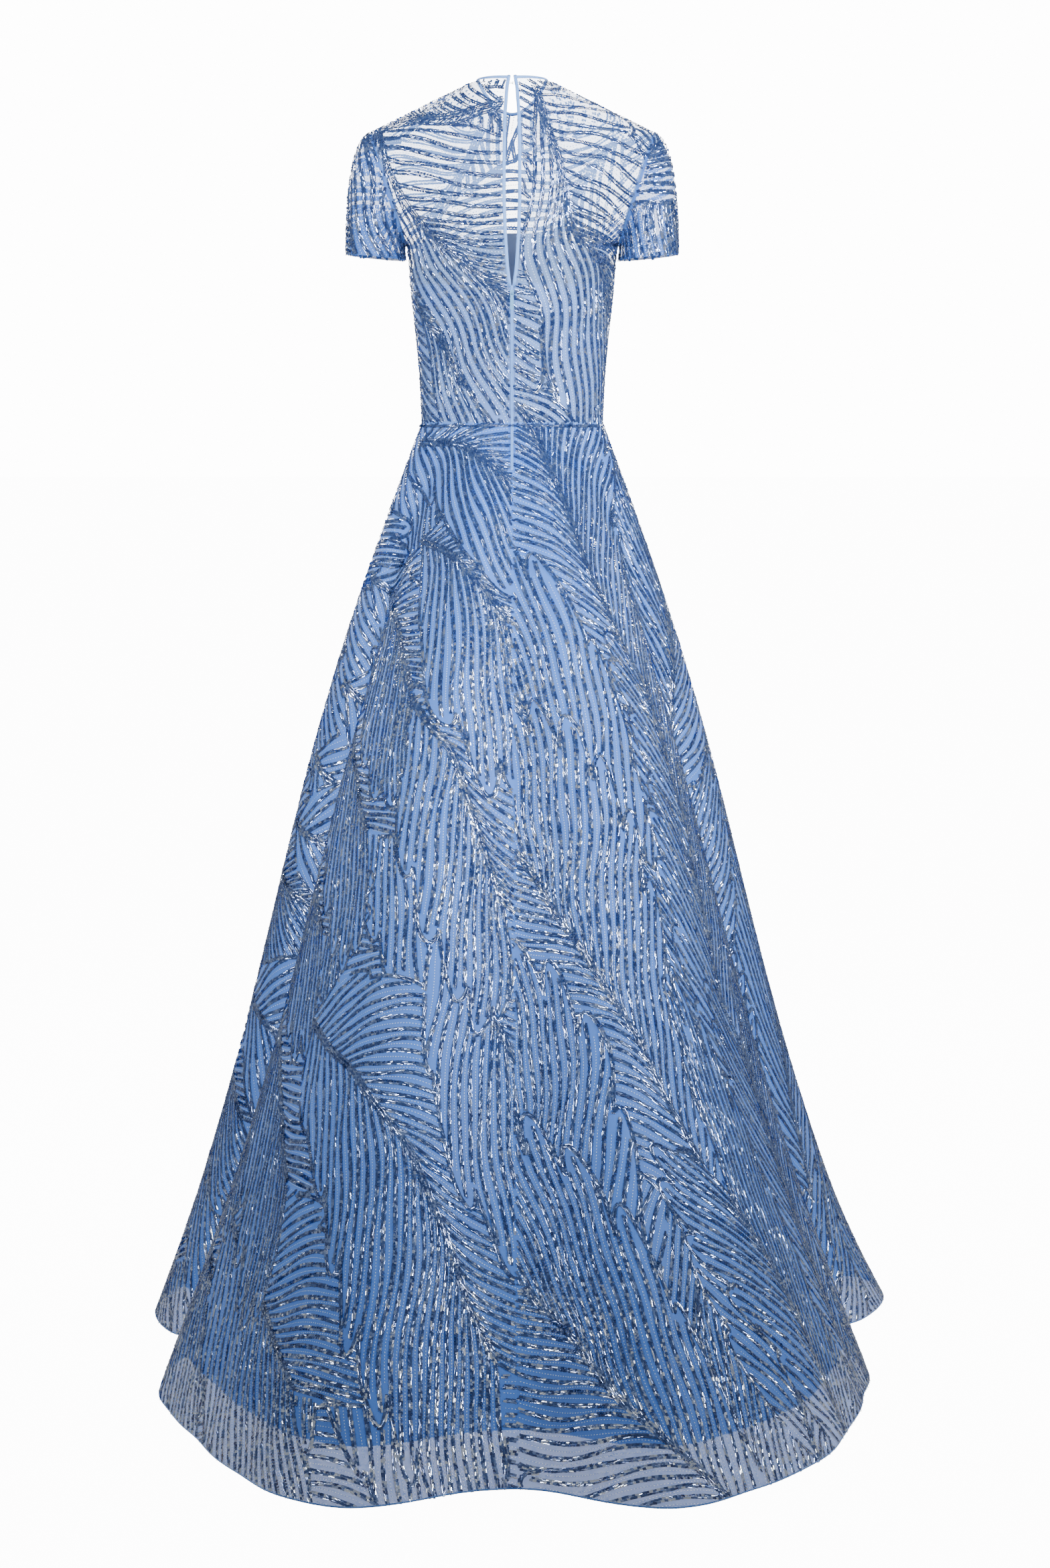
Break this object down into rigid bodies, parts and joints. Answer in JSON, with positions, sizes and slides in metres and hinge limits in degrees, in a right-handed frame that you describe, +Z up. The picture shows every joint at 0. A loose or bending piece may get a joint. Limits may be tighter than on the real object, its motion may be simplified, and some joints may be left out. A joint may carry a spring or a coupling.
{
  "type": "lace dress",
  "caption": "Floor-length evening gown with short sleeves, open back slit, zip and a short train, in worn form with no wearer.",
  "frame": {"origin": "midway between the two shoulder seams, where the wearer's shoulders hold the gown", "axes": "+Z up; the wearer faces -Y, so the train runs towards +Y; +X is the wearer's left"},
  "size_m": [0.9357, 1.3145, 1.5507],
  "materials": {
    "embroidered_net": "fine net over lining, with rows of glossy sequins",
    "lining_satin": "soft satin",
    "binding": "matt",
    "zip_tape": "matt",
    "zip_paint": "satin paint",
    "hook_wire": "dark wire"
  },
  "bodies": {
    "gown": {"bodice_front": "embroidered_net", "bodice_back_left": "embroidered_net", "bodice_back_right": "embroidered_net", "sleeve_left": "embroidered_net", "sleeve_right": "embroidered_net", "sleeve_hem_left": "embroidered_net", "sleeve_hem_right": "embroidered_net", "skirt_front": "embroidered_net", "skirt_back_left": "embroidered_net", "skirt_back_right": "embroidered_net", "lining_front": "lining_satin", "lining_back_left": "lining_satin", "lining_back_right": "lining_satin", "lining_skirt_front": "lining_satin", "lining_skirt_back": "lining_satin", "neck_binding": "binding", "slit_binding_left": "binding", "slit_binding_right": "binding", "zip_strip": "zip_tape", "zip_slider": "zip_paint", "neck_hook": "hook_wire", "neck_eye": "hook_wire"},
    "pull": {"zip_pull": "zip_paint"}
  },
  "joints": [
    {"name": "zip_pull_swing", "type": "hinge", "parent": "gown", "child": "pull", "pos_m": [0, 0.11091, -0.2305], "axis": [1, 0, 0], "range_deg": [0, 150]}
  ]
}
